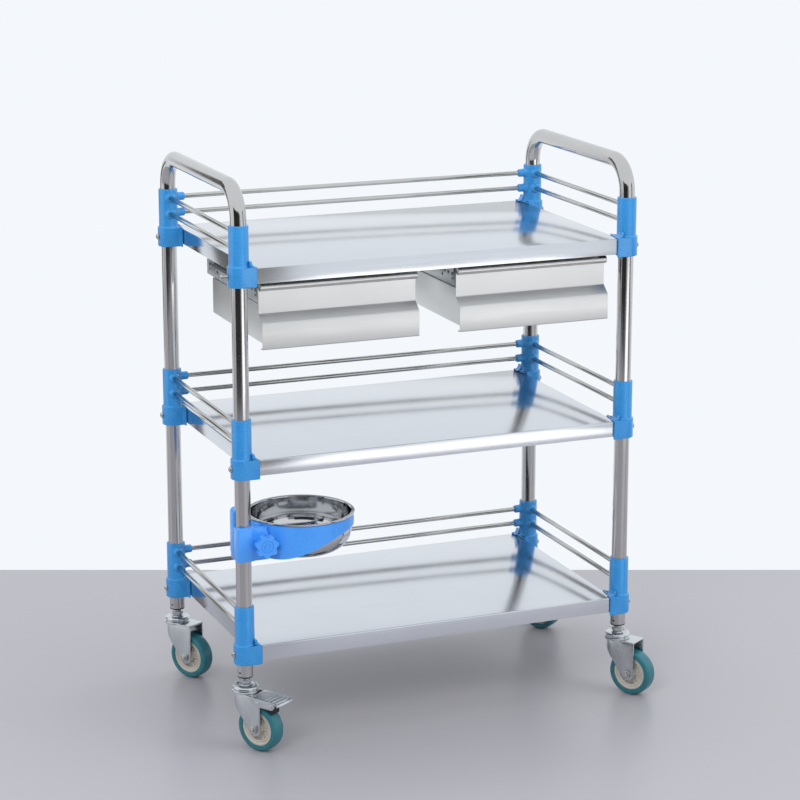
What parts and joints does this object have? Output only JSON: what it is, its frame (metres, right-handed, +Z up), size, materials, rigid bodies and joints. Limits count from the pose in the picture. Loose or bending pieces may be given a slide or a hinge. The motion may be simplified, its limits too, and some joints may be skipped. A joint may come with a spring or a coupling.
{
  "type": "instrument cart",
  "caption": "Open shelved steel trolley on swivel casters, with guard rails, side-by-side drawers under the top shelf and a bowl clamped to a post.",
  "frame": {"origin": "on the floor, midway between the axes of the four posts", "axes": "+Z up, -Y towards the side the drawers open to, +X to the right of someone facing the drawers"},
  "size_m": [0.7448, 0.4598, 0.902],
  "materials": {
    "polished_tube": "stainless tube, polished along its length",
    "rail_rod": "bright stainless rod",
    "shelf_sheet": "fine brushed stainless sheet",
    "drawer_sheet": "fine brushed stainless sheet",
    "slide_steel": "galvanised pressed steel",
    "bowl_steel": "spun stainless, mirror polished",
    "blue_plastic": "injection-moulded ABS, gloss",
    "black_plastic": "moulded black plastic",
    "hub_plastic": "moulded grey nylon",
    "tyre_teal": "cast polyurethane tread",
    "zinc_plate": "bright zinc-plated pressed steel",
    "screw_steel": "bright plated steel"
  },
  "bodies": {
    "cart": {"frame_left": "polished_tube", "frame_right": "polished_tube", "shelf_bottom": "shelf_sheet", "rails_bottom": "rail_rod", "bracket_front_left_bottom": "blue_plastic", "bracket_front_right_bottom": "blue_plastic", "bracket_back_left_bottom": "blue_plastic", "bracket_back_right_bottom": "blue_plastic", "shelf_middle": "shelf_sheet", "rails_middle": "rail_rod", "bracket_front_left_middle": "blue_plastic", "bracket_front_right_middle": "blue_plastic", "bracket_back_left_middle": "blue_plastic", "bracket_back_right_middle": "blue_plastic", "shelf_top": "shelf_sheet", "rails_top": "rail_rod", "bracket_front_left_top": "blue_plastic", "bracket_front_right_top": "blue_plastic", "bracket_back_left_top": "blue_plastic", "bracket_back_right_top": "blue_plastic", "bracket_screws": "screw_steel", "post_plugs": "black_plastic", "caster_front_left_stem": "zinc_plate", "caster_front_right_stem": "zinc_plate", "caster_back_left_stem": "zinc_plate", "caster_back_right_stem": "zinc_plate", "drawer_left_slide_rails": "slide_steel", "drawer_right_slide_rails": "slide_steel"},
    "caster_front_left": {"caster_front_left_fork": "zinc_plate", "caster_front_left_axle": "screw_steel"},
    "wheel_front_left": {"caster_front_left_hub": "hub_plastic", "caster_front_left_tyre": "tyre_teal"},
    "caster_front_right": {"caster_front_right_fork": "zinc_plate", "caster_front_right_axle": "screw_steel"},
    "wheel_front_right": {"caster_front_right_hub": "hub_plastic", "caster_front_right_tyre": "tyre_teal"},
    "caster_back_left": {"caster_back_left_fork": "zinc_plate", "caster_back_left_axle": "screw_steel"},
    "wheel_back_left": {"caster_back_left_hub": "hub_plastic", "caster_back_left_tyre": "tyre_teal"},
    "caster_back_right": {"caster_back_right_fork": "zinc_plate", "caster_back_right_axle": "screw_steel"},
    "wheel_back_right": {"caster_back_right_hub": "hub_plastic", "caster_back_right_tyre": "tyre_teal"},
    "brake_front_left": {"brake_front_left_pedal": "zinc_plate", "brake_front_left_shoe": "black_plastic"},
    "brake_back_right": {"brake_back_right_pedal": "zinc_plate", "brake_back_right_shoe": "black_plastic"},
    "drawer_left": {"drawer_left_box": "drawer_sheet", "drawer_left_front": "drawer_sheet", "drawer_left_slide_runners": "slide_steel"},
    "drawer_left_slides": {"drawer_left_slide_middles": "slide_steel"},
    "drawer_right": {"drawer_right_box": "drawer_sheet", "drawer_right_front": "drawer_sheet", "drawer_right_slide_runners": "slide_steel"},
    "drawer_right_slides": {"drawer_right_slide_middles": "slide_steel"},
    "bowl_holder": {"bowl_ring": "blue_plastic", "bowl_clamp_jaw": "blue_plastic"},
    "bowl_knob": {"bowl_clamp_knob": "blue_plastic"},
    "bowl": {"bowl": "bowl_steel"}
  },
  "joints": [
    {"name": "swivel_front_left", "type": "hinge", "parent": "cart", "child": "caster_front_left", "pos_m": [-0.3275, -0.1777, 0.097], "axis": [0, 0, 1], "continuous": true},
    {"name": "roll_front_left", "type": "hinge", "parent": "caster_front_left", "child": "wheel_front_left", "pos_m": [-0.31129, -0.20294, 0.0375], "axis": [0.8415, 0.5402, 0], "continuous": true},
    {"name": "swivel_front_right", "type": "hinge", "parent": "cart", "child": "caster_front_right", "pos_m": [0.3275, -0.1777, 0.097], "axis": [0, 0, 1], "continuous": true},
    {"name": "roll_front_right", "type": "hinge", "parent": "caster_front_right", "child": "wheel_front_right", "pos_m": [0.34371, -0.20294, 0.0375], "axis": [0.8415, 0.5402, 0], "continuous": true},
    {"name": "swivel_back_left", "type": "hinge", "parent": "cart", "child": "caster_back_left", "pos_m": [-0.3275, 0.1777, 0.097], "axis": [0, 0, 1], "continuous": true},
    {"name": "roll_back_left", "type": "hinge", "parent": "caster_back_left", "child": "wheel_back_left", "pos_m": [-0.31129, 0.15246, 0.0375], "axis": [0.8415, 0.5402, 0], "continuous": true},
    {"name": "swivel_back_right", "type": "hinge", "parent": "cart", "child": "caster_back_right", "pos_m": [0.3275, 0.1777, 0.097], "axis": [0, 0, 1], "continuous": true},
    {"name": "roll_back_right", "type": "hinge", "parent": "caster_back_right", "child": "wheel_back_right", "pos_m": [0.34371, 0.15246, 0.0375], "axis": [0.8415, 0.5402, 0], "continuous": true},
    {"name": "brake_front_left_press", "type": "hinge", "parent": "caster_front_left", "child": "brake_front_left", "pos_m": [-0.30611, -0.21102, 0.084], "axis": [0.8415, 0.5402, 0], "range_deg": [0, 6]},
    {"name": "brake_back_right_press", "type": "hinge", "parent": "caster_back_right", "child": "brake_back_right", "pos_m": [0.34889, 0.14438, 0.084], "axis": [0.8415, 0.5402, 0], "range_deg": [0, 6]},
    {"name": "drawer_left_pull", "type": "slide", "parent": "cart", "child": "drawer_left", "axis": [0, -1, 0], "range_m": [0, 0.24]},
    {"name": "drawer_left_slides_follow", "type": "slide", "parent": "cart", "child": "drawer_left_slides", "axis": [0, -1, 0], "range_m": [0, 0.12]},
    {"name": "drawer_right_pull", "type": "slide", "parent": "cart", "child": "drawer_right", "axis": [0, -1, 0], "range_m": [0, 0.24]},
    {"name": "drawer_right_slides_follow", "type": "slide", "parent": "cart", "child": "drawer_right_slides", "axis": [0, -1, 0], "range_m": [0, 0.12]},
    {"name": "bowl_holder_turn", "type": "hinge", "parent": "cart", "child": "bowl_holder", "pos_m": [-0.3275, -0.1777, 0.336], "axis": [0, 0, 1], "continuous": true},
    {"name": "bowl_knob_turn", "type": "hinge", "parent": "bowl_holder", "child": "bowl_knob", "pos_m": [-0.301, -0.2077, 0.336], "axis": [0, -1, 0], "continuous": true},
    {"name": "bowl_lift", "type": "slide", "parent": "bowl_holder", "child": "bowl", "axis": [0, 0, 1], "range_m": [0, 0.075]}
  ],
  "couplings": [
    {"joint": "drawer_left_slides_follow", "follows": "drawer_left_pull", "ratio": 0.5},
    {"joint": "drawer_right_slides_follow", "follows": "drawer_right_pull", "ratio": 0.5}
  ]
}
